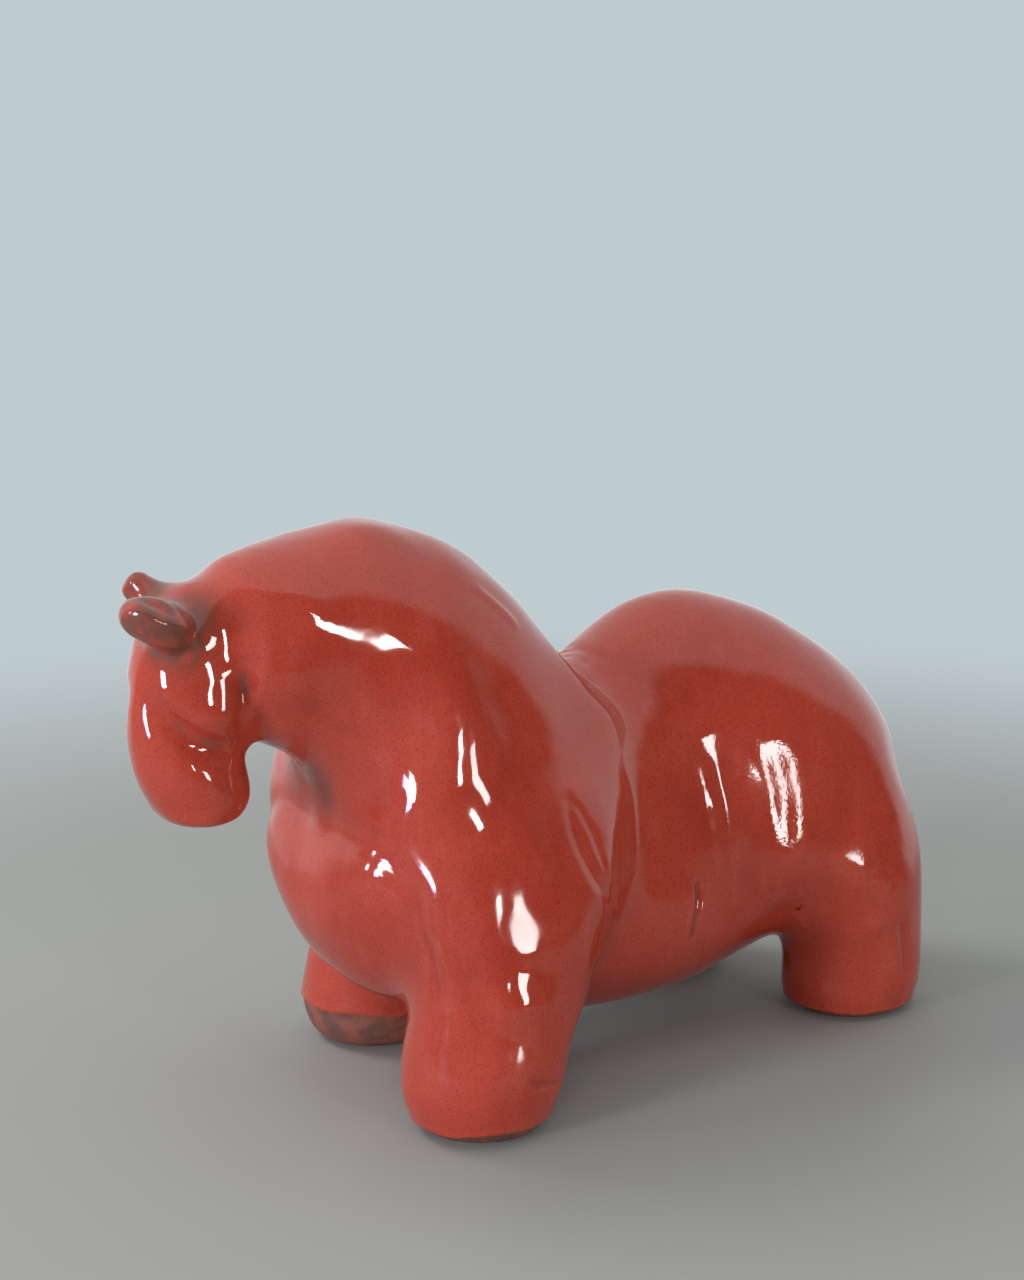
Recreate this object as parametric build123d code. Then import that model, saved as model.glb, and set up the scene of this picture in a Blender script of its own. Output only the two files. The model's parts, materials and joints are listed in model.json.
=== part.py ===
from build123d import *
import os
from math import hypot
from typing import NamedTuple

# A squat horse, hand built in clay as hollow forms that are luted together, then glazed and fired.
# Millimetres. While it is modelled, X points the way the horse faces, Y to its left, Z up, with the
# floor at Z 0. The finished horse is moved so that the origin lies on the floor under its middle.


class Hoop(NamedTuple):
    """An oval hoop standing across a form, from its lower point to its upper one, both (x, z)."""
    lower: tuple
    upper: tuple
    half_width: float
    widest: float  # how far above the lower point the hoop is widest


class Ring(NamedTuple):
    """A level oval ring of a leg, measured from the foot's centre, or of the tail, from under the middle."""
    height: float
    lead: float  # how far the ring's centre lies ahead of the foot
    inset: float  # how far it lies inside the foot, towards the middle of the horse
    front: float
    back: float
    half_width: float


class Slice(NamedTuple):
    """A round slice of an ear, square to the line from its root to its tip."""
    along: float
    half_width: float
    half_depth: float


# Clay
WALL = 8.0  # hollow trunk and neck
LEG_WALL = 7.0
SOLE_THICKNESS = 12.0  # slab that closes each leg
AIR_PASSAGE = 10.0  # hole from each leg's hollow into the trunk's, across
VENT = 1.8  # pinhole that lets the kiln air out, across

# Trunk and neck, hoop by hoop from the tail to the poll
RUMP_END = (-153.0, 81.0)
DOCK = Hoop((-147.0, 62.0), (-146.5, 99.0), 24.0, 19.0)
BUTTOCK = Hoop((-134.0, 47.0), (-132.0, 120.0), 42.0, 35.0)
THIGH = Hoop((-108.0, 29.0), (-105.0, 140.0), 52.0, 51.0)
CROUP = Hoop((-82.0, 21.0), (-78.0, 151.0), 53.0, 52.0)
LOIN = Hoop((-58.0, 14.0), (-52.0, 153.0), 49.0, 48.0)
WAIST = Hoop((-32.0, 11.0), (-28.0, 142.0), 48.0, 44.0)
BARREL = Hoop((-6.0, 12.0), (-14.0, 135.0), 48.0, 46.0)
GIRTH = Hoop((24.0, 17.0), (-4.0, 138.0), 52.0, 52.0)
ELBOW = Hoop((54.0, 25.0), (1.5, 146.0), 56.0, 52.0)
BREAST = Hoop((80.0, 42.0), (12.5, 161.0), 56.0, 50.0)
NECK_BASE = Hoop((91.5, 67.5), (29.0, 176.5), 51.0, 48.0)
NECK_MIDDLE = Hoop((86.5, 89.5), (51.0, 187.0), 42.0, 46.0)
THROAT = Hoop((86.5, 108.0), (77.0, 190.0), 34.0, 42.0)
NAPE = Hoop((98.5, 120.0), (101.5, 187.5), 29.5, 35.0)
POLL = Hoop((116.0, 132.0), (123.0, 181.5), 24.0, 24.0)
TRUNK_AND_NECK = [DOCK, BUTTOCK, THIGH, CROUP, LOIN, WAIST, BARREL, GIRTH, ELBOW, BREAST,
                  NECK_BASE, NECK_MIDDLE, THROAT, NAPE, POLL]
HOLLOWED = TRUNK_AND_NECK[1:-1]  # the rump's end and the poll stay solid

# Head, from the crown down to the rolled lower edge of the cheeks
CROWN_TIP = (129.0, 179.0)
CROWN = Hoop((114.0, 171.0), (139.0, 175.0), 12.0, 12.0)
BROW = Hoop((106.0, 159.0), (146.0, 166.0), 17.0, 21.0)
TEMPLE = Hoop((105.0, 144.0), (148.5, 156.0), 19.5, 24.0)
CHEEK = Hoop((108.0, 130.0), (149.0, 147.0), 20.0, 23.0)
JAW = Hoop((113.0, 123.0), (147.5, 141.0), 17.0, 20.0)
CHEEK_EDGE = Hoop((120.0, 123.0), (141.0, 134.0), 9.0, 12.0)
HEAD = [CROWN, BROW, TEMPLE, CHEEK, JAW, CHEEK_EDGE]

# Muzzle, from its root inside the head down to the blunt mouth
MUZZLE_ROOT = Hoop((119.0, 132.0), (149.0, 148.0), 13.0, 16.0)
NOSE = Hoop((113.5, 120.5), (150.5, 134.0), 16.0, 20.0)
NOSTRIL = Hoop((112.0, 113.0), (148.0, 118.0), 17.0, 19.0)
LIP = Hoop((113.0, 106.5), (143.0, 107.0), 16.5, 15.0)
MOUTH = Hoop((117.5, 102.5), (139.5, 102.5), 14.0, 11.0)
MUZZLE = [MUZZLE_ROOT, NOSE, NOSTRIL, LIP, MOUTH]

# Ears: the left one is laid forward, the right one stands higher
EAR_LENGTH = 25.0
LEFT_EAR_ROOT = (136.0, 12.0, 164.0)
LEFT_EAR_LEAN = (23.0, 2.0, 10.0)  # the way it points
RIGHT_EAR_ROOT = (125.5, -10.0, 162.0)
RIGHT_EAR_LEAN = (16.0, -3.0, 14.0)
EAR_SLICES = [Slice(0.0, 6.0, 6.0), Slice(9.0, 8.5, 7.5), Slice(16.0, 8.5, 7.0), Slice(22.0, 6.0, 5.0)]

# Feet, as (x, y), and the rings of the legs that rise from them
FRONT_LEFT_FOOT = (55.0, 50.0)
FRONT_RIGHT_FOOT = (40.0, -39.0)
HIND_LEFT_FOOT = (-117.0, 36.0)
HIND_RIGHT_FOOT = (-85.0, -36.0)
FRONT_LEG = [
    Ring(0.0, 0.0, 0.0, 18.0, 15.0, 17.0),
    Ring(5.0, 0.0, 0.0, 24.0, 21.0, 22.5),
    Ring(20.0, 0.0, 0.0, 26.0, 28.0, 25.0),
    Ring(45.0, -5.0, 2.0, 27.0, 36.0, 24.0),
    Ring(70.0, -10.0, 6.0, 34.0, 43.0, 24.0),
    Ring(95.0, -12.0, 13.0, 37.0, 46.0, 23.0),
    Ring(116.0, -14.0, 22.0, 32.0, 40.0, 23.0),
    Ring(134.0, -14.0, 34.0, 22.0, 28.0, 22.0),
]
HIND_LEG = [
    Ring(0.0, 0.0, 0.0, 18.0, 18.0, 18.0),
    Ring(5.0, 0.0, 0.0, 24.0, 25.0, 23.0),
    Ring(20.0, 0.0, 0.0, 24.0, 27.0, 24.0),
    Ring(42.0, 2.0, 1.0, 28.0, 30.0, 25.5),
    Ring(70.0, 6.0, 5.0, 38.0, 33.0, 25.5),
    Ring(95.0, 10.0, 11.0, 38.0, 30.0, 24.0),
    Ring(114.0, 12.0, 18.0, 32.0, 24.0, 20.0),
    Ring(130.0, 14.0, 30.0, 22.0, 16.0, 18.0),
]
PASSAGE_RING = 3  # ring, counted up from the foot, that a leg's air passage starts from
VENT_HEIGHT = 36.0  # pinhole above the floor, on the front of the hind left leg
VENT_INSET = -1.0

# Tail, a tapered strip pressed on the rump
TAIL_TOP = (-136.0, 116.0)
TAIL_TIP = (-137.0, 48.0)
TAIL_RINGS = [
    Ring(108.0, -142.0, 0.0, 8.0, 5.0, 7.0),
    Ring(96.0, -149.0, 0.0, 8.0, 6.0, 9.0),
    Ring(80.0, -153.0, 0.0, 8.0, 6.5, 10.0),
    Ring(64.0, -148.0, 0.0, 8.0, 6.5, 9.0),
    Ring(54.0, -141.0, 0.0, 7.0, 5.0, 6.0),
]


def oval(plane, half_width, above, below):
    """Two half ellipses that share their width, on a plane whose X runs across the horse."""
    with BuildLine(plane) as outline:
        EllipticalCenterArc((0, 0), half_width, above, 0, arc_size=180)
        EllipticalCenterArc((0, 0), half_width, below, 180, arc_size=180)
    return Face(Wire(outline.edges()))


def hoop_plane(hoop):
    """The plane of a hoop, with its origin where the hoop is widest."""
    rise = Vector(hoop.upper[0] - hoop.lower[0], 0, hoop.upper[1] - hoop.lower[1]).normalized()
    widest = Vector(hoop.lower[0], 0, hoop.lower[1]) + rise * hoop.widest
    across = Vector(0, 1, 0)
    return Plane(origin=widest, x_dir=across, z_dir=across.cross(rise))


def hoop_face(hoop, wall=0.0):
    """The hoop as a face, or the one that lies a wall inside it."""
    height = hypot(hoop.upper[0] - hoop.lower[0], hoop.upper[1] - hoop.lower[1])
    above = height - hoop.widest
    return oval(hoop_plane(hoop), hoop.half_width - wall, above - wall, hoop.widest - wall)


def ring_face(ring, foot, side, wall=0.0):
    """A level ring of a limb on the horse's left (side 1) or right (side -1)."""
    centre = (foot[0] + ring.lead, foot[1] - side * ring.inset, ring.height)
    plane = Plane(origin=centre, x_dir=(0, 1, 0), z_dir=(0, 0, -1))
    return oval(plane, ring.half_width - wall, ring.front - wall, ring.back - wall)


def lofted(faces, start=None, end=None):
    """A smooth skin over the faces, drawn to a point at either end where one is given as (x, z)."""
    sections = list(faces)
    if start:
        sections.insert(0, Vertex(start[0], 0, start[1]))
    if end:
        sections.append(Vertex(end[0], 0, end[1]))
    return loft(sections)


def seated(limb, *hosts):
    """The limb where it stands clear of the forms that it is pressed on to."""
    clear = limb
    for host in hosts:
        clear = ShapeList([clear - host]).solids().sort_by(SortBy.VOLUME)[-1]
    return clear


def make_trunk():
    """The whole outside of trunk and neck, and the hollow within."""
    outside = lofted([hoop_face(hoop) for hoop in TRUNK_AND_NECK], start=RUMP_END)
    hollow = lofted([hoop_face(hoop, WALL) for hoop in HOLLOWED])
    return outside, hollow


def make_leg(rings, foot):
    """A leg's outside down to the floor, and its hollow above the sole."""
    side = 1 if foot[1] > 0 else -1
    outside = lofted([ring_face(ring, foot, side) for ring in rings])
    hollow = lofted([ring_face(ring, foot, side, LEG_WALL) for ring in rings])
    above_sole = split(hollow, Plane.XY.offset(SOLE_THICKNESS), keep=Keep.TOP)
    return outside, above_sole


def make_passage(rings, foot):
    """The air hole from the middle of a leg's hollow up and inwards into the trunk."""
    side = 1 if foot[1] > 0 else -1
    low, high = rings[PASSAGE_RING], rings[-1]
    start = Vector(foot[0] + low.lead, foot[1] - side * low.inset, low.height)
    finish = Vector(foot[0] + high.lead, foot[1] - side * high.inset, high.height)
    plane = Plane(origin=start, z_dir=finish - start)
    return extrude(plane * Circle(AIR_PASSAGE / 2), (finish - start).length)


def make_ear(root, lean):
    """A pinched lobe from its root in the head to its rounded tip."""
    axis = Vector(lean).normalized()
    faces = []
    for cut in EAR_SLICES:
        plane = Plane(origin=Vector(root) + axis * cut.along, x_dir=(0, 1, 0), z_dir=axis)
        faces.append((plane * Ellipse(cut.half_width, cut.half_depth)).face())
    tip = Vector(root) + axis * EAR_LENGTH
    return loft(faces + [Vertex(tip.X, tip.Y, tip.Z)])


def make_tail():
    """The strip on the rump, whose rings are given where they lie."""
    faces = [ring_face(ring, (0.0, 0.0), 1) for ring in TAIL_RINGS]
    return lofted(faces, start=TAIL_TOP, end=TAIL_TIP)


def make_vent():
    """The pinhole through the front wall of the hind left leg."""
    start = Vector(HIND_LEFT_FOOT[0], HIND_LEFT_FOOT[1] - VENT_INSET, VENT_HEIGHT)
    reach = max(ring.lead + ring.front for ring in HIND_LEG)
    return extrude(Plane(origin=start, z_dir=(1, 0, 0)) * Circle(VENT / 2), reach)


def build_horse():
    """Every piece of the horse, by name, where it is modelled."""
    pieces = {}
    trunk, trunk_hollow = make_trunk()
    legs = {
        "front_left": make_leg(FRONT_LEG, FRONT_LEFT_FOOT),
        "front_right": make_leg(FRONT_LEG, FRONT_RIGHT_FOOT),
        "hind_left": make_leg(HIND_LEG, HIND_LEFT_FOOT),
        "hind_right": make_leg(HIND_LEG, HIND_RIGHT_FOOT),
    }
    passages = [
        make_passage(FRONT_LEG, FRONT_LEFT_FOOT),
        make_passage(FRONT_LEG, FRONT_RIGHT_FOOT),
        make_passage(HIND_LEG, HIND_LEFT_FOOT),
        make_passage(HIND_LEG, HIND_RIGHT_FOOT),
    ]
    shell = trunk - trunk_hollow - passages

    # The trunk is put together from hollow lengths that meet at the loin, the girth and the neck's base
    rump_seam, shoulder_seam, neck_seam = hoop_plane(LOIN), hoop_plane(GIRTH), hoop_plane(NECK_BASE)
    pieces["rump_shell"] = split(shell, rump_seam, keep=Keep.BOTTOM)
    ahead = split(shell, rump_seam, keep=Keep.TOP)
    pieces["barrel_shell"] = split(ahead, shoulder_seam, keep=Keep.BOTTOM)
    ahead = split(ahead, shoulder_seam, keep=Keep.TOP)
    pieces["shoulder_shell"] = split(ahead, neck_seam, keep=Keep.BOTTOM)
    pieces["neck_shell"] = split(ahead, neck_seam, keep=Keep.TOP)

    floor_of_hollow = Plane.XY.offset(SOLE_THICKNESS)
    for name, (outside, hollow) in legs.items():
        upper = split(outside, floor_of_hollow, keep=Keep.TOP)
        pieces[name + "_leg"] = seated(upper, hollow, trunk)
        pieces[name + "_sole"] = split(outside, floor_of_hollow, keep=Keep.BOTTOM)
    pieces["hind_left_leg"] -= make_vent()

    head = lofted([hoop_face(hoop) for hoop in HEAD], start=CROWN_TIP)
    muzzle = lofted([hoop_face(hoop) for hoop in MUZZLE])
    pieces["head"] = seated(head, trunk)
    pieces["muzzle"] = seated(muzzle, head, trunk)
    pieces["left_ear"] = seated(make_ear(LEFT_EAR_ROOT, LEFT_EAR_LEAN), head, trunk)
    pieces["right_ear"] = seated(make_ear(RIGHT_EAR_ROOT, RIGHT_EAR_LEAN), head, trunk)
    pieces["tail"] = seated(make_tail(), trunk)
    return pieces


def main():
    os.makedirs("parts", exist_ok=True)
    pieces = build_horse()
    box = Compound(children=[Compound(piece.solids()) for piece in pieces.values()]).bounding_box()
    to_origin = Pos(-box.center().X, -box.center().Y, -box.min.Z)
    for name, piece in pieces.items():
        export_step((to_origin * piece).solid(), os.path.join("parts", name + ".step"))
    print("length, width, height:", box.size, "moved by:", to_origin.position)


main()
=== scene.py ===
import json
import math
import random
from typing import NamedTuple

import bmesh
import bpy
import numpy as np
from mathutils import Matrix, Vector, noise
from mathutils.bvhtree import BVHTree


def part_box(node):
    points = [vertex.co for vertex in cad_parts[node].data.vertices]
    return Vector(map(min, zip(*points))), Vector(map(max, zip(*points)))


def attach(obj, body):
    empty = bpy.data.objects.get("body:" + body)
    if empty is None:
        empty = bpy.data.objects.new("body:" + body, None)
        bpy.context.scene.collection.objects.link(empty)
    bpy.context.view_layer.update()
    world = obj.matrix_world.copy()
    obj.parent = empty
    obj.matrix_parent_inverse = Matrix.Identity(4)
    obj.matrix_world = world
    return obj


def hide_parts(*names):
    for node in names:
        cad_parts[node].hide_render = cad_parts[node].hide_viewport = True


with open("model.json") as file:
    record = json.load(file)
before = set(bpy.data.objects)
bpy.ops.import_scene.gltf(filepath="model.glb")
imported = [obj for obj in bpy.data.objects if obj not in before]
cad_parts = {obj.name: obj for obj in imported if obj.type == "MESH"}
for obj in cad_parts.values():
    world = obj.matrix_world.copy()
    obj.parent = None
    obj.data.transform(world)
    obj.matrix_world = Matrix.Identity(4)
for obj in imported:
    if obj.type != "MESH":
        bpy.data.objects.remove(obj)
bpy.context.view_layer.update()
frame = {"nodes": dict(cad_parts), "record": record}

MM = 0.001
NODE_NAMES = sorted(frame["nodes"])
EAR_NODES = ["left_ear", "right_ear"]
LEG_NODES = ["front_left_leg", "front_right_leg", "hind_left_leg", "hind_right_leg"]
FACE_NODES = ["head", "muzzle", *EAR_NODES]
MIDDLE_Y = (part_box("muzzle")[0].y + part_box("muzzle")[1].y) / 2

# The photograph's camera, in the frame's metres, for an image of 1024 by 1280 pixels
PHOTO_WIDTH = 1024
PHOTO_HEIGHT = 1280
CAMERA_AT = Vector((0.4580, 0.6365, 0.3110))
CAMERA_HEADING = math.radians(35)
CAMERA_PITCH = math.radians(12)
FOCAL_PIXELS = 2370
SENSOR = 36.0  # millimetres along the image's long side

# The clay skin, in millimetres where no other unit is given
VOXEL = 2.0
SMOOTH_STEPS = 8
SMOOTH_SHARE = 0.5  # of the way to its neighbours' mean that a point goes in one step
SMOOTH_BACK = 1.04  # how much further it goes back, so that the form doesn't shrink
LEAST_SMOOTHING = 0.35  # share of the smoothing where no crease is filled
CREASE_FILL_STEPS = 30
CREASE_FILL_SHARE = 0.6
SEAM_SMOOTH_STEPS = 12
FACE_FROM_X = 112.0  # ahead of this and between the next two heights, no crease is filled
FACE_BOTTOM_Z = 90.0
FACE_TOP_Z = 152.0
EAR_FILL = 0.8  # share of the crease filling round the ears
SMEAR_FADE = 12.0  # height over which a smear starts
LUMPS = [(46.0, 1.3), (21.0, 0.65)]  # length and height of the hand's unevenness
FINE_LUMPS = [(10.0, 0.11)]
LUMPS_FADE = 14.0  # height above the floor over which the lumps start
SEAM_DEPTH = 2.5  # how far a piece's edge is drawn in before it is closed
PATH_STEP = 2.5  # pixels between the points of a stroke
STROKE_REACH = 5  # widths beside a stroke beyond which it isn't felt
LIP_WIDTH = 2.2  # of a stroke's lips, in widths of the stroke
BODY_WANDER = 5.0  # how far the hidden side's marks stray from their mirrored places
EARS_FROM_X = 100.0  # behind this no ear is near
EAR_BROWN_REACH = 6.0  # how far the ears' brown runs on round their roots
GRAIN_AHEAD = 12.0  # how far ahead of the rump its grainy glaze starts
GRAIN_FADE = 30.0
SEED = 41


class Smear(NamedTuple):
    """How the seams round some nodes are smeared."""
    nodes: list
    above: float  # the height, in millimetres, that it starts at
    reach: int  # steps that its band spreads by
    gain: float  # how full the band is
    steps: int


SMEARS = [
    Smear(LEG_NODES, 24.0, 40, 4.0, 140),
    Smear(FACE_NODES, 152.0, 24, 3.5, 140),
    Smear(EAR_NODES, 140.0, 14, 3.5, 110),
    Smear(["tail"], 24.0, 14, 3.0, 50),
]


class Stroke(NamedTuple):
    """A finger stroke, given by the photograph's pixels that it runs through; sizes in millimetres."""
    path: tuple
    width: float
    depth: float  # below zero it is a ridge
    lip: float  # share of the depth that is pushed up beside it


# Marks of the face; both sides have the same ones
FACE_STROKES = {
    "cheek_crease": Stroke(((150, 706), (173, 728), (191, 744), (212, 751), (232, 751)), 5.0, 2.2, 0.0),
    "jaw_corner": Stroke(((247, 668), (243, 700), (241, 726), (247, 744)), 3.2, 1.3, 0.3),
    "ear_root": Stroke(((156, 645), (174, 646), (192, 634)), 5.0, -1.6, 0.0),
    "ear_ridge": Stroke(((130, 605), (140, 612), (150, 619), (168, 625), (188, 627)), 2.6, -1.3, 0.3),
    "ear_top": Stroke(((142, 600), (156, 604), (170, 611)), 2.8, 0.9, 0.2),
    "mouth_edge": Stroke(((166, 817), (192, 821), (222, 821)), 2.6, -0.7, 0.1),
    "cheek_roll": Stroke(((160, 684), (184, 708), (208, 722), (230, 722)), 6.0, -1.1, 0.0),
}

# Marks of the neck, trunk and legs; the hidden side gets like ones
BODY_STROKES = {
    "gullet_fold": Stroke(((276, 714), (291, 718), (306, 735), (316, 758), (322, 792)), 5.0, 0.6, 0.2),
    "poll_roll": Stroke(((222, 588), (265, 593), (320, 602)), 6.0, -1.1, 0.0),
    "poll_hollow": Stroke(((225, 630), (265, 640), (312, 652)), 7.0, 1.0, 0.0),
    "neck_hollow": Stroke(((318, 640), (330, 690), (338, 740)), 9.0, 0.9, 0.2),
    "crest_lump": Stroke(((340, 532), (366, 529), (392, 535)), 8.0, -1.2, 0.1),
    "crest_lump_behind": Stroke(((450, 568), (472, 578)), 8.0, -1.0, 0.1),
    "neck_ridge": Stroke(((474, 588), (497, 606), (516, 625)), 2.2, -0.6, 0.2),
    "neck_flute": Stroke(((470, 640), (500, 700), (535, 760)), 10.0, 0.9, 0.2),
    "withers_fill": Stroke(((560, 662), (577, 690), (598, 718), (612, 738)), 9.0, -3.0, 0.0),
    "withers_fold": Stroke(((557, 655), (582, 650), (609, 660)), 1.9, 0.3, 0.6),
    "withers_fold_low": Stroke(((558, 658), (577, 670), (592, 685)), 2.0, 0.3, 0.6),
    "chest_fold": Stroke(((325, 826), (346, 838), (373, 850), (394, 870), (413, 890), (424, 913)),
                         5.0, 1.0, 0.3),
    "chest_dent": Stroke(((352, 784), (372, 802), (396, 806)), 9.0, 0.6, 0.1),
    "chest_dent_low": Stroke(((380, 838), (402, 846)), 9.0, 0.5, 0.1),
    "leg_front_crease": Stroke(((412, 898), (419, 928), (429, 955), (437, 988)), 4.0, 1.4, 0.3),
    "barrel_front": Stroke(((600, 700), (608, 770), (614, 850), (618, 930)), 13.0, -2.4, 0.0),
    "belly_roll": Stroke(((634, 935), (660, 942), (690, 930)), 16.0, -1.4, 0.0),
    "shoulder_edge": Stroke(((571, 794), (570, 814), (578, 843), (589, 867), (605, 896), (607, 930),
                             (606, 966)), 2.6, 0.45, 0.25),
    "shoulder_fold": Stroke(((576, 804), (592, 835), (602, 867), (612, 901), (615, 914)), 1.8, 0.25, 0.4),
    "barrel_finger": Stroke(((636, 752), (645, 820), (650, 895)), 6.0, 0.4, 0.3),
    "barrel_finger_rear": Stroke(((664, 742), (676, 815), (682, 885)), 6.0, 0.35, 0.3),
    "gouge": Stroke(((700, 884), (700, 899), (696, 917), (691, 938)), 1.5, 1.4, 0.4),
    "flank_ridge": Stroke(((706, 764), (718, 805), (724, 841), (728, 872), (734, 899), (736, 915)),
                          3.2, -0.6, 0.1),
    "flank_hollow": Stroke(((706, 750), (714, 790), (721, 840), (727, 880), (733, 912)), 13.0, 2.8, 0.0),
    "flank_valley": Stroke(((721, 766), (733, 810), (739, 850), (743, 890)), 4.5, 0.5, 0.2),
    "flank_finger": Stroke(((748, 762), (754, 815), (756, 868)), 4.5, 0.35, 0.3),
    "flank_finger_rear": Stroke(((775, 750), (784, 800), (786, 850)), 5.0, 0.4, 0.3),
    "rump_crown": Stroke(((725, 622), (770, 629), (808, 650), (830, 680)), 20.0, -1.6, 0.0),
    "rump_rear": Stroke(((850, 700), (868, 735), (878, 770), (883, 805)), 14.0, -1.4, 0.0),
    "thigh_bulge": Stroke(((762, 862), (800, 867), (842, 873)), 16.0, -2.2, 0.0),
    "rump_finger": Stroke(((802, 710), (815, 778), (822, 845)), 7.0, 0.45, 0.3),
    "rump_finger_middle": Stroke(((836, 716), (850, 786), (856, 850)), 7.0, 0.45, 0.3),
    "rump_finger_rear": Stroke(((868, 745), (880, 812), (886, 862)), 7.0, 0.4, 0.3),
    "thigh_streak": Stroke(((795, 858), (795, 884), (799, 896)), 1.6, -0.6, 0.3),
    "thigh_dent": Stroke(((815, 890), (835, 905), (862, 908)), 8.0, 0.9, 0.2),
    "hock_crease": Stroke(((902, 920), (904, 948), (906, 974)), 2.4, 0.8, 0.4),
    "hock_ridge": Stroke(((884, 924), (866, 933), (852, 941)), 4.0, -0.7, 0.2),
    "knee_dent": Stroke(((505, 968), (530, 978), (560, 972)), 7.5, 0.9, 0.2),
    "shin_dent": Stroke(((498, 1030), (520, 1042), (548, 1036)), 7.5, 0.8, 0.2),
    "shin_ridge": Stroke(((436, 938), (443, 965), (456, 998)), 3.5, -0.9, 0.2),
    "shin_flute": Stroke(((478, 985), (484, 1030), (482, 1070)), 6.0, 0.9, 0.3),
    "shoulder_dent": Stroke(((512, 918), (522, 932), (536, 938)), 6.0, 0.6, 0.2),
    "thumb_ring": Stroke(((893, 882), (890, 890), (882, 893), (874, 890), (871, 882), (874, 874), (882, 871),
                          (890, 874), (893, 882)), 1.3, 0.25, 0.3),
    "vent_rim": Stroke(((797, 909), (799, 909)), 2.0, 0.4, 0.5),
    "vent_drip": Stroke(((800, 917), (803, 927)), 1.3, -0.5, 0.1),
    "foot_line": Stroke(((531, 1084), (547, 1084), (562, 1081)), 1.4, 0.6, 0.5),
}


class Foot(NamedTuple):
    """How far a foot's bare clay reaches up from the floor, in millimetres, and how much that varies."""
    line: float
    waver: float


FEET = {
    "front_left": Foot(4.5, 1.5),
    "front_right": Foot(14.0, 1.8),
    "hind_left": Foot(3.0, 1.0),
    "hind_right": Foot(8.0, 2.0),
}

# The glaze's edge above the feet, in millimetres where no other unit is given
GLAZE_THICKNESS = 0.35
GLAZE_BEAD = 0.45
GLAZE_FADE = 18.0  # height over which the thick lower edge of the glaze thins out
GLAZE_EDGE = 1.2  # height over which the glaze starts
BEAD_ABOVE = 0.9  # the bead's middle, above the glaze's line
BEAD_SIZE = 1.1
FOOT_TOP = 40.0  # height that a foot's glaze is worked up to
FOOT_REACH = 0.75  # how far round a sole's middle it is worked, in lengths of the sole
FOOT_FADE = 3.0  # height above the floor over which the glaze's thickness starts
WAVER_ROUND = 2.0  # radius, in the noise, of the circle that the line's slow waves follow
RIPPLE_ROUND = 9.0  # and of the one that its quick waves follow
RIPPLE_SHARE = 0.35

# The pinhole in the hind left leg, in millimetres but for its pixel
VENT_PIXEL = (798, 909)
VENT_RADIUS = 1.15
VENT_DEPTH = 6.0


def camera_axes():
    """The camera's right, up and forward directions."""
    right = Vector((-math.cos(CAMERA_HEADING), math.sin(CAMERA_HEADING), 0))
    level = Vector((-math.sin(CAMERA_HEADING), -math.cos(CAMERA_HEADING), 0))
    forward = level * math.cos(CAMERA_PITCH) - Vector((0, 0, math.sin(CAMERA_PITCH)))
    return right, right.cross(forward), forward


def photo_ray(pixel):
    """The direction from the camera through a pixel of the photograph."""
    right, up, forward = camera_axes()
    across = (pixel[0] - PHOTO_WIDTH / 2) / FOCAL_PIXELS
    down = (pixel[1] - PHOTO_HEIGHT / 2) / FOCAL_PIXELS
    return (forward + right * across - up * down).normalized()


def smooth_pixels(path):
    """Evenly spaced pixels on a smooth line through the given ones."""
    knots = np.array([path[0], *path, path[-1]], dtype=float)
    dense = []
    for a, b, c, d in zip(knots, knots[1:], knots[2:], knots[3:]):
        count = max(2, int(np.linalg.norm(c - b) / PATH_STEP))
        for t in np.linspace(0, 1, count, endpoint=False):
            bend = (2 * a - 5 * b + 4 * c - d) * t ** 2 + (3 * b - a - 3 * c + d) * t ** 3
            dense.append(b + ((c - a) * t + bend) / 2)
    return dense + [knots[-1]]


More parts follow.
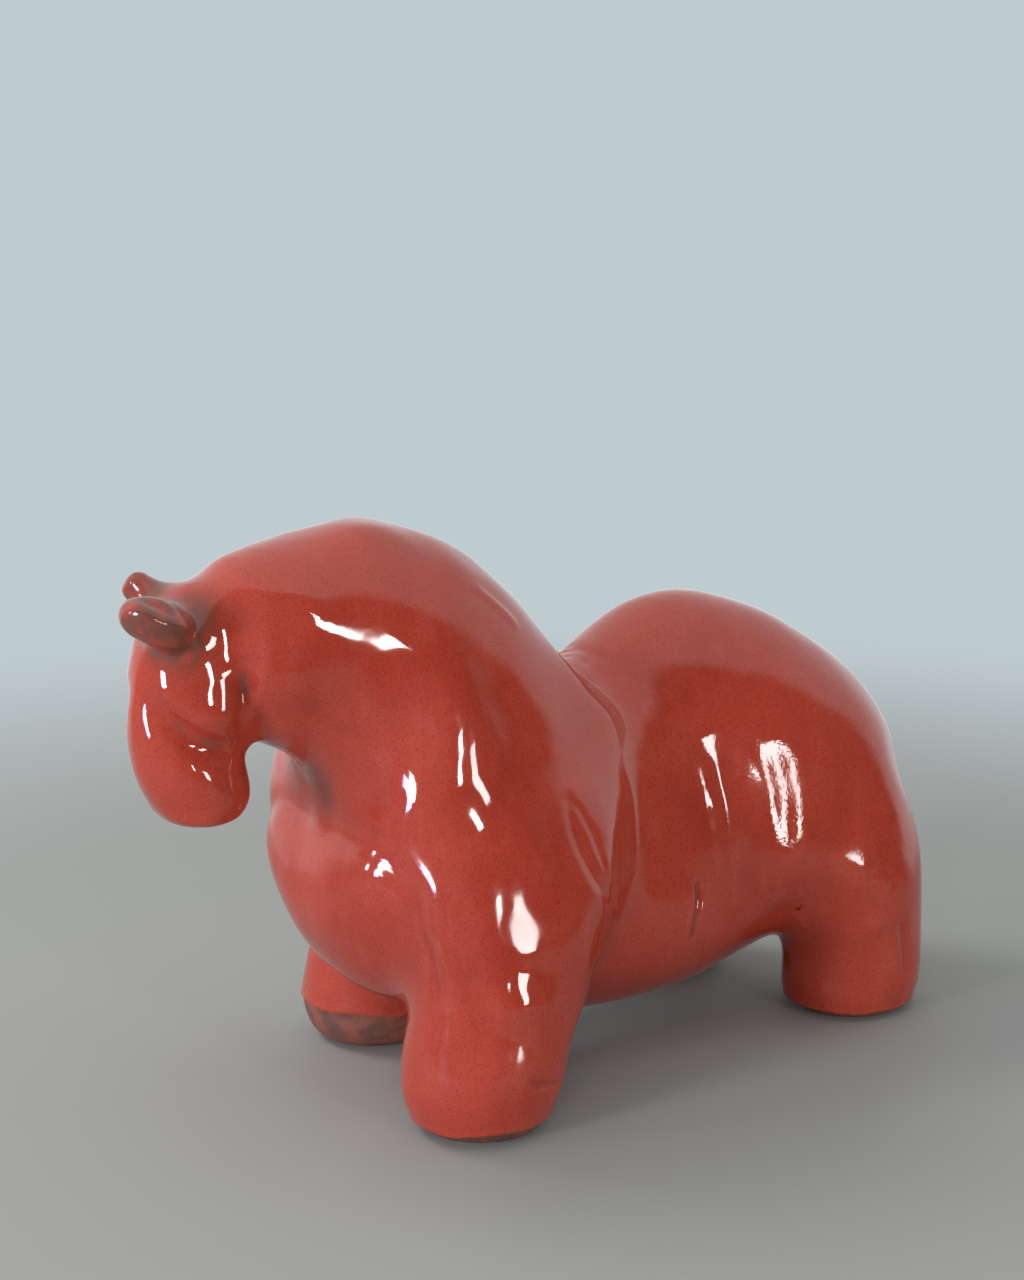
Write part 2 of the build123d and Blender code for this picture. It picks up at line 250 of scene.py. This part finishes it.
class Clay:
    """A mesh that is worked through its points."""

    def __init__(self, mesh):
        self.mesh = mesh
        count = len(mesh.vertices)
        flat = np.empty(count * 3)
        mesh.vertices.foreach_get("co", flat)
        self.points = flat.reshape(-1, 3)
        pairs = np.empty(len(mesh.edges) * 2, dtype=np.int32)
        mesh.edges.foreach_get("vertices", pairs)
        first, second = pairs.reshape(-1, 2).T
        self.start = np.concatenate([first, second])
        self.finish = np.concatenate([second, first])
        self.degree = np.maximum(np.bincount(self.start, minlength=count), 1)

    def mean_beside(self, values):
        """For each point, the mean of the values at the points that it shares an edge with."""
        columns = values.reshape(len(values), -1)
        sums = [np.bincount(self.start, column[self.finish], len(values)) for column in columns.T]
        return (np.stack(sums, 1) / self.degree[:, None]).reshape(values.shape)

    def spread(self, values, steps):
        """The values, evened out over some steps along the edges."""
        for _ in range(steps):
            values = (values + self.mean_beside(values)) / 2
        return values

    def store(self):
        """Writes the points back to the mesh."""
        self.mesh.vertices.foreach_set("co", self.points.ravel())
        self.mesh.update()

    def normals(self):
        """The direction that the surface faces at each point."""
        self.store()
        flat = np.empty(len(self.points) * 3, dtype=np.float32)
        self.mesh.vertex_normals.foreach_get("vector", flat)
        return flat.reshape(-1, 3).astype(float)

    def quads(self):
        """The corners of every face, all of them four-sided."""
        corners = np.empty(len(self.mesh.loops), dtype=np.int32)
        self.mesh.loops.foreach_get("vertex_index", corners)
        return corners.reshape(-1, 4)

    def smooth(self, steps, where):
        """Evens the surface out without shrinking it."""
        for _ in range(steps):
            for share in (SMOOTH_SHARE, -SMOOTH_SHARE * SMOOTH_BACK):
                away = self.mean_beside(self.points) - self.points
                self.points = self.points + where[:, None] * share * away

    def smear(self, steps, where):
        """Draws the surface tight where it is smeared."""
        for _ in range(steps):
            away = self.mean_beside(self.points) - self.points
            self.points = self.points + SMOOTH_SHARE * where[:, None] * away

    def fill_creases(self, steps, where):
        """Fills hollow corners with smeared clay and leaves rounded edges alone."""
        for _ in range(steps):
            normals = self.normals()
            rise = np.sum((self.mean_beside(self.points) - self.points) * normals, axis=1)
            lift = np.clip(rise, 0, None) * CREASE_FILL_SHARE * where
            self.points = self.points + normals * lift[:, None]

    def hollowness(self, steps):
        """How hollow (above 0) or edge-like (below 0) the surface is, evened out, in millimetres."""
        rise = np.sum((self.mean_beside(self.points) - self.points) * self.normals(), axis=1)
        return self.spread(rise, steps) / MM

    def add_lumps(self, lumps, where):
        """Makes the surface uneven, with bumps of each length and height."""
        normals = self.normals()
        lift = np.zeros(len(self.points))
        for length, height in lumps:
            spots = self.points / (length * MM)
            lift += height * MM * np.array([noise.noise(Vector(spot)) for spot in spots])
        self.points = self.points + normals * (lift * where)[:, None]

    def press(self, path, facing, stroke, normals):
        """Draws a finger along a path of points, leaving soft lips."""
        width = stroke.width * MM
        low = path.min(0) - STROKE_REACH * width
        high = path.max(0) + STROKE_REACH * width
        near = np.where(np.all((self.points > low) & (self.points < high), axis=1))[0]
        groove = along_path(self.points[near], path, width)
        lips = along_path(self.points[near], path, LIP_WIDTH * width)
        agrees = np.clip(normals[near] @ facing, 0, 1)
        move = stroke.depth * MM * agrees * (stroke.lip * lips - (1 + stroke.lip) * groove)
        self.points[near] += normals[near] * move[:, None]


def felt_from(path, shares, width, places):
    """How strongly the points of a path are felt at each place, each point by its share."""
    away = ((places[:, None, :] - path[None]) ** 2).sum(2)
    return np.exp(-away / width ** 2) @ shares


def along_path(points, path, width):
    """1 on a path and falling smoothly to 0 beside it, for each of the points."""
    spans = np.minimum(np.linalg.norm(np.diff(path, axis=0), axis=1), width) + 1e-6
    shares = np.append(spans, 0) + np.insert(spans, 0, 0)
    return felt_from(path, shares, width, points) / felt_from(path, shares, width, path).max()


def joined_nodes():
    """The meshes of all the CAD nodes, copied into one, and the number of the node each face is from."""
    work = bmesh.new()
    owners = []
    for number, name in enumerate(NODE_NAMES):
        before = len(work.faces)
        work.from_mesh(frame["nodes"][name].data)
        owners += [number] * (len(work.faces) - before)
    return work, np.array(owners)


def modified_mesh(mesh, kind, **settings):
    """The mesh after one modifier, as a new mesh."""
    holder = bpy.data.objects.new("holder", mesh)
    bpy.context.scene.collection.objects.link(holder)
    modifier = holder.modifiers.new(kind, kind)
    for name, value in settings.items():
        setattr(modifier, name, value)
    shaped = holder.evaluated_get(bpy.context.evaluated_depsgraph_get())
    result = bpy.data.meshes.new_from_object(shaped)
    bpy.data.objects.remove(holder)
    return result


def keep_outside(mesh):
    """Deletes every island of the mesh but the longest: the walls of inner hollows go."""
    work = bmesh.new()
    work.from_mesh(mesh)
    seen = set()
    islands = []
    for vert in work.verts:
        if vert in seen:
            continue
        island = [vert]
        seen.add(vert)
        for member in island:
            for edge in member.link_edges:
                other = edge.other_vert(member)
                if other not in seen:
                    seen.add(other)
                    island.append(other)
        islands.append(island)
    islands.sort(key=lambda island: max(v.co.x for v in island) - min(v.co.x for v in island))
    inner = [vert for island in islands[:-1] for vert in island]
    bmesh.ops.delete(work, geom=inner, context="VERTS")
    work.to_mesh(mesh)
    work.free()
    return mesh


def crease_filling(clay):
    """How far each point lets its crease be filled: not at all on the face, less round the ears."""
    x, _, z = clay.points.T / MM
    share = np.ones(len(clay.points))
    ahead = x > FACE_FROM_X
    share[ahead & (z > FACE_TOP_Z)] = EAR_FILL
    share[ahead & (z < FACE_TOP_Z) & (z > FACE_BOTTOM_Z)] = 0.0
    return clay.spread(share, steps=4)


def seam_band(clay, nearest, smear):
    """1 on the seams between some nodes and the rest, fading to 0 beside them."""
    limb = np.isin(nearest, [NODE_NAMES.index(name) for name in smear.nodes]).astype(float)
    beside = clay.mean_beside(limb)
    seam = ((beside > 0) & (beside < 1)) * above_floor(clay.points - [0, 0, smear.above * MM], SMEAR_FADE)
    return np.clip(smear.gain * clay.spread(seam, smear.reach), 0, 1)


def make_skin(nodes, finder, owners):
    """The horse's whole outside with its clay forms smeared into each other, coarse and then subdivided."""
    mesh = bpy.data.meshes.new("joined")
    nodes.to_mesh(mesh)
    clay = Clay(keep_outside(modified_mesh(mesh, "REMESH", mode="VOXEL", voxel_size=VOXEL * MM)))
    filling = crease_filling(clay)
    clay.smooth(SMOOTH_STEPS, where=LEAST_SMOOTHING + (1 - LEAST_SMOOTHING) * filling)
    clay.fill_creases(CREASE_FILL_STEPS, filling)
    nearest = owners[[finder.find_nearest(Vector(point))[2] for point in clay.points]]
    for smear in SMEARS:
        clay.smear(smear.steps, seam_band(clay, nearest, smear))
    clay.smooth(SEAM_SMOOTH_STEPS, where=filling)
    clay.add_lumps(LUMPS, where=above_floor(clay.points, LUMPS_FADE))
    clay.store()
    fine = modified_mesh(clay.mesh, "SUBSURF", levels=1, subdivision_type="CATMULL_CLARK")
    return clay, Clay(fine)


def above_floor(points, height):
    """From 0 on the floor to 1 at a height in millimetres, smoothly."""
    share = np.clip(points[:, 2] / (height * MM), 0, 1)
    return share * share * (3 - 2 * share)


def work_marks(coarse, skin):
    """Presses every stroke into the skin on both sides; gives the tree that finds the coarse skin."""
    coarse_points = [Vector(point) for point in coarse.points]
    tree = BVHTree.FromPolygons(coarse_points, coarse.quads().tolist())
    chance = random.Random(SEED)
    normals = skin.normals()
    for strokes, wander in ((FACE_STROKES, 0.0), (BODY_STROKES, BODY_WANDER)):
        for stroke in strokes.values():
            hits = [tree.ray_cast(CAMERA_AT, photo_ray(pixel)) for pixel in smooth_pixels(stroke.path)]
            hits = [hit for hit in hits if hit[0]]
            aside = Vector((chance.uniform(-wander, wander), 0, chance.uniform(-wander, wander))) * MM
            mirrored = [Vector((hit[0].x, 2 * MIDDLE_Y - hit[0].y, hit[0].z)) + aside for hit in hits]
            others = [tree.find_nearest(place) for place in mirrored]
            for found in (hits, others):
                facing = sum((hit[1] for hit in found), Vector()).normalized()
                skin.press(np.array([hit[0] for hit in found]), np.array(facing), stroke, normals)
    return tree


def noise_round(turns, radius, level):
    """Noise on a circle at each of some angles, so that it closes on itself."""
    return np.array([noise.noise(Vector((radius * math.cos(turn), radius * math.sin(turn), level)))
                     for turn in turns])


def foot_lines(skin):
    """Lays the glaze's edge round each foot and returns how bare the clay is at every point."""
    bare = np.zeros(len(skin.points))
    normals = skin.normals()
    for name, foot in FEET.items():
        low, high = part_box(name + "_sole")
        middle = (low + high) / 2
        x, y, z = skin.points.T
        beside = np.hypot(x - middle.x, y - middle.y) < (high.x - low.x) * FOOT_REACH
        near = np.where(beside & (z < FOOT_TOP * MM))[0]
        turns = np.arctan2(y[near] - middle.y, x[near] - middle.x)
        wavers = noise_round(turns, WAVER_ROUND, foot.line)
        ripples = noise_round(turns, RIPPLE_ROUND, foot.line)
        line = foot.line + foot.waver * (wavers + RIPPLE_SHARE * ripples)
        above = z[near] / MM - line
        coat = np.clip(above / GLAZE_EDGE + 0.5, 0, 1)
        bead = np.exp(-((above - BEAD_ABOVE) / BEAD_SIZE) ** 2)
        thin_out = np.clip(1 - above / GLAZE_FADE, 0, 1)
        thickness = (GLAZE_THICKNESS * coat * thin_out + GLAZE_BEAD * bead) * MM
        lift = thickness * above_floor(skin.points[near], FOOT_FADE)
        skin.points[near] += normals[near] * lift[:, None]
        bare[near] = np.maximum(bare[near], 1 - coat)
    return bare


def node_of_faces(skin, finder, owners):
    """The number of the CAD node that each face of the skin covers, with smooth seams between them."""
    nearest = owners[[finder.find_nearest(Vector(point))[2] for point in skin.points]]
    shares = np.zeros((len(nearest), len(NODE_NAMES)), dtype=np.float32)
    shares[np.arange(len(nearest)), nearest] = 1
    shares = skin.spread(shares, steps=8)
    return shares[skin.quads()].sum(1).argmax(1)


def ear_browning(skin):
    """1 on the ears, fading to 0 round their roots."""
    away = np.full(len(skin.points), np.inf)
    near = np.where(skin.points[:, 0] > EARS_FROM_X * MM)[0]
    for name in EAR_NODES:
        tree = BVHTree.FromObject(frame["nodes"][name], bpy.context.evaluated_depsgraph_get())
        found = [tree.find_nearest(Vector(point))[3] for point in skin.points[near]]
        away[near] = np.minimum(away[near], found)
    return np.exp(-(away / (EAR_BROWN_REACH * MM)) ** 2)


def cut_piece(name, skin, chosen, fields, normals):
    """The skin's chosen faces as an open mesh of their own, with the skin's fields and normals."""
    quads = skin.quads()[chosen]
    used, local = np.unique(quads, return_inverse=True)
    mesh = bpy.data.meshes.new(name)
    mesh.from_pydata(skin.points[used].tolist(), [], local.reshape(-1, 4).tolist())
    for field, values in fields.items():
        layer = mesh.attributes.new(field, "FLOAT", "POINT")
        layer.data.foreach_set("value", values[used].astype(np.float32))
    layer = mesh.attributes.new("skin_normal", "FLOAT_VECTOR", "POINT")
    layer.data.foreach_set("vector", normals[used].astype(np.float32).ravel())
    return mesh


def wind_like_neighbours(faces):
    """Turns new faces so that they run on from the older faces beside them."""
    for face in faces:
        seam = next(loop for loop in face.loops if loop.link_loop_radial_next.face not in faces)
        if seam.link_loop_radial_next.vert == seam.vert:
            face.normal_flip()


def close_piece(mesh, vent):
    """Closes a cut piece where it meets its neighbours, and bores the vent if there is one."""
    work = bmesh.new()
    work.from_mesh(mesh)
    for face in work.faces:
        face.smooth = True
    added = bore_vent(work, *vent) if vent else []
    rim = [edge for edge in work.edges if edge.is_boundary]
    drawn = bmesh.ops.extrude_edge_only(work, edges=rim)["geom"]
    walls = [item for item in drawn if isinstance(item, bmesh.types.BMFace)]
    wind_like_neighbours(walls)
    outward = work.verts.layers.float_vector["skin_normal"]
    for vert in drawn:
        if isinstance(vert, bmesh.types.BMVert):
            vert.co -= vert[outward] * SEAM_DEPTH * MM
    open_edges = [edge for edge in work.edges if edge.is_boundary]
    caps = bmesh.ops.holes_fill(work, edges=open_edges, sides=0)["faces"]
    wind_like_neighbours(caps)
    for face in added + walls + caps:
        face.smooth = False
    bmesh.ops.triangulate(work, faces=caps)
    work.to_mesh(mesh)
    work.free()


def shade_as_skin(mesh):
    """Gives a piece's outer faces the whole skin's normals, so that no seam shows, and the rest their own."""
    layer = mesh.attributes["skin_normal"]
    carried = np.empty(len(mesh.vertices) * 3, dtype=np.float32)
    layer.data.foreach_get("vector", carried)
    carried = carried.reshape(-1, 3)
    shading = []
    for polygon in mesh.polygons:
        for corner in polygon.vertices:
            shading.append(carried[corner] if polygon.use_smooth else polygon.normal)
    mesh.attributes.remove(layer)
    mesh.normals_split_custom_set(shading)


def bore_vent(work, place, inward):
    """A pinhole in a mesh: its rim set to a circle, its wall drawn in and closed; gives the new faces."""
    inside = [vert for vert in work.verts if not vert.is_boundary]
    hub = min(inside, key=lambda vert: (vert.co - place).length)
    around = list(hub.link_faces)
    rim = {vert for face in around for vert in face.verts} - {hub}
    bmesh.ops.delete(work, geom=[hub], context="VERTS")
    for vert in rim:
        spoke = vert.co - place
        spoke -= inward * spoke.dot(inward)
        vert.co = place + spoke.normalized() * VENT_RADIUS * MM + inward * (vert.co - place).dot(inward)
    ring = [edge for edge in work.edges if edge.is_boundary and edge.verts[0] in rim and edge.verts[1] in rim]
    drawn = bmesh.ops.extrude_edge_only(work, edges=ring)["geom"]
    walls = [item for item in drawn if isinstance(item, bmesh.types.BMFace)]
    wind_like_neighbours(walls)
    for vert in drawn:
        if isinstance(vert, bmesh.types.BMVert):
            vert.co += inward * VENT_DEPTH * MM
    ends = [item for item in drawn if isinstance(item, bmesh.types.BMEdge) and item.is_boundary]
    bottom = bmesh.ops.holes_fill(work, edges=ends, sides=0)["faces"]
    wind_like_neighbours(bottom)
    return walls + bottom


class Nodes:
    """Short calls for building a material's nodes."""

    def __init__(self, tree):
        self.tree = tree

    def add(self, kind, inputs=None, **settings):
        """A new node with its settings made and its inputs fed."""
        node = self.tree.nodes.new(kind)
        for name, value in settings.items():
            setattr(node, name, value)
        for name, value in (inputs or {}).items():
            self.feed(node.inputs[name], value)
        return node

    def feed(self, socket, value):
        """Links a socket to another one, or sets its value."""
        if isinstance(value, bpy.types.NodeSocket):
            self.tree.links.new(value, socket)
        else:
            socket.default_value = value

    def noise(self, place, length, detail=2.0, roughness=0.5):
        """Noise with features of a length in millimetres."""
        scale = 1 / (length * MM)
        inputs = {"Vector": place, "Scale": scale, "Detail": detail, "Roughness": roughness}
        return self.add("ShaderNodeTexNoise", inputs).outputs["Fac"]

    def ramp(self, value, low, high, start=0.0, end=1.0):
        """Takes low..high to start..end, smoothly."""
        inputs = {"Value": value, "From Min": low, "From Max": high, "To Min": start, "To Max": end}
        node = self.add("ShaderNodeMapRange", inputs, interpolation_type="SMOOTHSTEP")
        return node.outputs["Result"]

    def mix(self, share, first, second):
        """Two colours mixed, from the first at 0 to the second at 1."""
        node = self.add("ShaderNodeMix", data_type="RGBA")
        self.feed(node.inputs["Factor"], share)
        self.feed(node.inputs[6], first)
        self.feed(node.inputs[7], second)
        return node.outputs[2]

    def math(self, operation, first, second):
        """One sum on two values."""
        node = self.add("ShaderNodeMath", operation=operation)
        self.feed(node.inputs[0], first)
        self.feed(node.inputs[1], second)
        return node.outputs[0]

    def toward(self, way, direction):
        """From -1 to 1, how far one direction points along another."""
        inputs = {0: way, 1: tuple(direction)}
        return self.add("ShaderNodeVectorMath", inputs, operation="DOT_PRODUCT").outputs["Value"]

    def field(self, name):
        """A value that the mesh carries at each point."""
        return self.add("ShaderNodeAttribute", attribute_name=name).outputs["Fac"]


# The glaze and the clay under it
RED = (0.36, 0.044, 0.024, 1)
DEEP_RED = (0.27, 0.026, 0.013, 1)
SPECK_RED = (0.17, 0.014, 0.008, 1)
PALE_RED = (0.39, 0.062, 0.038, 1)
BROWN = (0.15, 0.048, 0.032, 1)
BARE_CLAY = (0.20, 0.062, 0.038, 1)
STAIN = (0.115, 0.046, 0.032, 1)
GLAZE_IOR = 1.52
GLAZE_ROUGHNESS = {"red_glaze": 0.05, "browned_glaze": 0.09, "bare_foot": 0.10}
SMUDGE = 0.07  # roughness that the smudges add to the glaze's own
BARE_DULLNESS = 0.42  # and that bare clay adds


def make_glaze(name, roughness):
    """Glossy red glaze: speckled, darker in hollows (partly pooled glaze, partly painted shade), painted
    brown shade in the deepest hollows, thin and brown on edges, bare at the feet.
    """
    material = bpy.data.materials.new(name)
    material.use_nodes = True
    nodes = Nodes(material.node_tree)
    shader = material.node_tree.nodes["Principled BSDF"]
    place = nodes.add("ShaderNodeTexCoord").outputs["Object"]

    brushed = nodes.add("ShaderNodeMapping", {"Vector": place, "Scale": (1.0, 1.0, 0.35)}).outputs["Vector"]
    blotch = nodes.noise(place, 34, 3.0)
    brush = nodes.noise(brushed, 7, 4.0, 0.6)
    speckle = nodes.noise(place, 0.6, 2.0, 0.6)
    hollow = nodes.field("hollow")
    browned = nodes.field("browned")
    bare = nodes.field("bare")
    grain = nodes.field("grain")

    color = nodes.mix(nodes.ramp(blotch, 0.25, 0.60, 0.45, 1.0), DEEP_RED, RED)
    color = nodes.mix(nodes.ramp(brush, 0.45, 0.75, 0, 0.45), color, PALE_RED)
    # partly painted shade: hollows and creases darkened to deep red, partly for glaze pooled in them
    color = nodes.mix(nodes.ramp(hollow, 0.01, 0.06, 0, 0.6), color, DEEP_RED)
    color = nodes.mix(nodes.ramp(hollow, -0.02, -0.09, 0, 0.45), color, PALE_RED)
    # painted shade: the deepest hollows and creases turned brown, as the shadow inside them
    color = nodes.mix(nodes.ramp(hollow, 0.03, 0.09, 0, 0.55), color, BROWN)
    color = nodes.mix(nodes.ramp(speckle, 0.48, 0.68, 0, 0.5), color, SPECK_RED)
    thinned = nodes.math("MULTIPLY", browned, nodes.ramp(nodes.noise(place, 5, 3.0), 0.25, 0.6))
    color = nodes.mix(thinned, color, BROWN)
    stain = nodes.mix(nodes.ramp(nodes.noise(place, 6, 4.0, 0.6), 0.42, 0.62), BARE_CLAY, STAIN)
    color = nodes.mix(bare, color, stain)
    shader.inputs["Base Color"].default_value = RED
    nodes.feed(shader.inputs["Base Color"], color)

    smudge = nodes.ramp(nodes.noise(place, 18, 3.0), 0.4, 0.7, roughness, roughness + SMUDGE)
    dulled = nodes.math("ADD", smudge, nodes.math("MULTIPLY", bare, BARE_DULLNESS))
    nodes.feed(shader.inputs["Roughness"], dulled)
    shader.inputs["IOR"].default_value = GLAZE_IOR

    peel = nodes.noise(place, 3.2, 2.0)
    ripple = nodes.add("ShaderNodeBump", {"Height": peel, "Distance": 0.02 * MM, "Strength": 0.6})
    pits = nodes.math("MULTIPLY", nodes.noise(place, 1.2, 1.0), nodes.math("ADD", grain, bare))
    inputs = {"Height": pits, "Distance": 0.04 * MM, "Strength": 1.0, "Normal": ripple.outputs["Normal"]}
    nodes.feed(shader.inputs["Normal"], nodes.add("ShaderNodeBump", inputs).outputs["Normal"])
    return material


def add_camera():
    """The camera that took the photograph."""
    data = bpy.data.cameras.new("photo_camera")
    data.sensor_width = SENSOR
    data.lens = FOCAL_PIXELS / PHOTO_HEIGHT * SENSOR
    camera = bpy.data.objects.new("photo_camera", data)
    camera.location = CAMERA_AT
    camera.rotation_euler = camera_axes()[2].to_track_quat("-Z", "Y").to_euler()
    bpy.context.scene.collection.objects.link(camera)
    bpy.context.scene.camera = camera


# The stage and its light
BACKDROP = (0.52, 0.60, 0.625, 1)
FLOOR_GREY = (0.285, 0.285, 0.27, 1)
DARK_SIDE = (0.05, 0.05, 0.055, 1)
LEFT_SIDE = (0.30, 0.31, 0.32, 1)
PALE_SIDE = (0.84, 0.90, 0.92, 1)
FLOOR_ROUGHNESS = 0.7
FLOOR_SHEEN = 0.15
FLOOR_REACH = 3.0  # metres
FLOOR_FADE = (0.28, 0.75)  # metres from the horse's middle over which the floor fades out
LEFT_BEARING = (95, 10)  # where the world is as bright as its left side
PALE_BEARING = (325, 41)  # and where it is palest
LAMP_AIM = Vector((0, 0, 0.09))
WHITE = (1, 1, 1)
SKY_BLUE = (0.45, 0.50, 1)
DAYLIGHT = (1, 0.99, 0.97)
LAMPLIGHT = (1, 0.99, 0.96)


class Softbox(NamedTuple):
    """A soft rectangular lamp that faces the horse from a bearing round it; sizes in metres."""
    name: str
    azimuth: float
    elevation: float
    distance: float
    width: float
    height: float
    energy: float
    color: tuple
    reflected: bool = True  # whether the glaze shows it


SOFTBOXES = [
    Softbox("front_window", 74, 9, 1.4, 0.12, 0.20, 2, WHITE),
    Softbox("blue_window", 94, 4, 1.4, 0.18, 0.26, 6, SKY_BLUE),
    Softbox("left_window", 99, 9, 1.4, 0.20, 0.32, 8.5, DAYLIGHT),
    Softbox("right_window_near", 182, 11, 1.6, 0.14, 0.26, 4.5, DAYLIGHT),
    Softbox("right_window_far", 199, 4, 1.6, 0.18, 0.40, 4.5, DAYLIGHT),
    Softbox("camera_fill", 138, 14, 1.5, 0.40, 0.40, 5.5, DAYLIGHT, reflected=False),
    Softbox("back_lamp", 38, 46, 1.5, 0.50, 0.50, 10, LAMPLIGHT, reflected=False),
]


def add_floor():
    """A grey floor that fades out away from the horse, into the backdrop where the camera sees it."""
    corners = [(-FLOOR_REACH, -FLOOR_REACH, 0), (FLOOR_REACH, -FLOOR_REACH, 0),
               (FLOOR_REACH, FLOOR_REACH, 0), (-FLOOR_REACH, FLOOR_REACH, 0)]
    mesh = bpy.data.meshes.new("floor")
    mesh.from_pydata(corners, [], [(0, 1, 2, 3)])
    floor = bpy.data.objects.new("floor", mesh)
    bpy.context.scene.collection.objects.link(floor)
    material = bpy.data.materials.new("floor")
    material.use_nodes = True
    nodes = Nodes(material.node_tree)
    place = nodes.add("ShaderNodeTexCoord").outputs["Object"]
    away = nodes.add("ShaderNodeVectorMath", {0: place}, operation="LENGTH").outputs["Value"]
    shader = material.node_tree.nodes["Principled BSDF"]
    shader.inputs["Base Color"].default_value = FLOOR_GREY
    shader.inputs["Roughness"].default_value = FLOOR_ROUGHNESS
    shader.inputs["Specular IOR Level"].default_value = FLOOR_SHEEN
    glow = nodes.add("ShaderNodeEmission", {"Color": BACKDROP, "Strength": 1.0}).outputs["Emission"]
    seen = nodes.add("ShaderNodeLightPath").outputs["Is Camera Ray"]
    clear = nodes.add("ShaderNodeBsdfTransparent").outputs["BSDF"]
    beyond = nodes.add("ShaderNodeMixShader", {0: seen, 1: clear, 2: glow}).outputs[0]
    fade = nodes.ramp(away, *FLOOR_FADE)
    both = nodes.add("ShaderNodeMixShader", {0: fade, 1: shader.outputs["BSDF"], 2: beyond}).outputs[0]
    nodes.feed(material.node_tree.nodes["Material Output"].inputs["Surface"], both)
    mesh.materials.append(material)


def bearing(azimuth, elevation):
    """The direction at an angle round the horse and above the floor, in degrees."""
    turn, tilt = math.radians(azimuth), math.radians(elevation)
    return Vector((math.sin(turn) * math.cos(tilt), -math.cos(turn) * math.cos(tilt), math.sin(tilt)))


def add_softbox(box):
    """A lamp made as a softbox says."""
    away = bearing(box.azimuth, box.elevation)
    data = bpy.data.lights.new(box.name, "AREA")
    data.shape = "RECTANGLE"
    data.size = box.width
    data.size_y = box.height
    data.energy = box.energy
    data.color = box.color
    lamp = bpy.data.objects.new(box.name, data)
    lamp.location = LAMP_AIM + away * box.distance
    lamp.rotation_euler = (-away).to_track_quat("-Z", "Y").to_euler()
    lamp.visible_glossy = box.reflected
    bpy.context.scene.collection.objects.link(lamp)


def set_world():
    """Pale behind the horse and above it, dark to the camera's right; a plain backdrop for the camera."""
    world = bpy.data.worlds.new("studio")
    bpy.context.scene.world = world
    world.use_nodes = True
    nodes = Nodes(world.node_tree)
    way = nodes.add("ShaderNodeTexCoord").outputs["Generated"]
    around = nodes.mix(nodes.ramp(nodes.toward(way, bearing(*LEFT_BEARING)), 0.0, 0.8), DARK_SIDE, LEFT_SIDE)
    around = nodes.mix(nodes.ramp(nodes.toward(way, bearing(*PALE_BEARING)), 0.10, 0.30), around, PALE_SIDE)
    seen = nodes.add("ShaderNodeLightPath").outputs["Is Camera Ray"]
    background = world.node_tree.nodes["Background"]
    nodes.feed(background.inputs["Color"], nodes.mix(seen, around, BACKDROP))


def dress_horse():
    """Every piece of the horse's skin, one for each CAD node."""
    nodes, owners = joined_nodes()
    finder = BVHTree.FromBMesh(nodes)
    coarse, skin = make_skin(nodes, finder, owners)
    nodes.free()
    tree = work_marks(coarse, skin)
    skin.add_lumps(FINE_LUMPS, where=above_floor(skin.points, LUMPS_FADE))
    bare = foot_lines(skin)
    skin.points[:, 2] = np.maximum(skin.points[:, 2], 0)
    normals = skin.normals()
    rump_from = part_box("rump_shell")[1].x / MM
    fields = {
        # how hollow each point is, which the glaze turns into darker colour: painted shade in hollows and
        # creases
        "hollow": skin.hollowness(steps=2),
        "browned": ear_browning(skin),
        "bare": bare,
        "grain": np.clip((rump_from + GRAIN_AHEAD - skin.points[:, 0] / MM) / GRAIN_FADE, 0, 1),
    }
    covers = node_of_faces(skin, finder, owners)
    vent = tree.ray_cast(CAMERA_AT, photo_ray(VENT_PIXEL))
    centres = skin.points[skin.quads()].mean(1)
    vented = covers[np.linalg.norm(centres - np.array(vent[0]), axis=1).argmin()]
    finishes = {name: make_glaze(name, roughness) for name, roughness in GLAZE_ROUGHNESS.items()}
    slots = {row["node"]: row["material_slot"] for row in frame["record"]["subparts"]}
    for number, name in enumerate(NODE_NAMES):
        mesh = cut_piece(name + "_skin", skin, covers == number, fields, normals)
        close_piece(mesh, (vent[0], -vent[1]) if number == vented else None)
        shade_as_skin(mesh)
        piece = bpy.data.objects.new(name + "_skin", mesh)
        bpy.context.scene.collection.objects.link(piece)
        mesh.materials.append(finishes[slots[name]])
        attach(piece, "root")
        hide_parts(name)


dress_horse()
add_camera()
add_floor()
for softbox in SOFTBOXES:
    add_softbox(softbox)
set_world()
bpy.context.scene.view_settings.view_transform = "Standard"
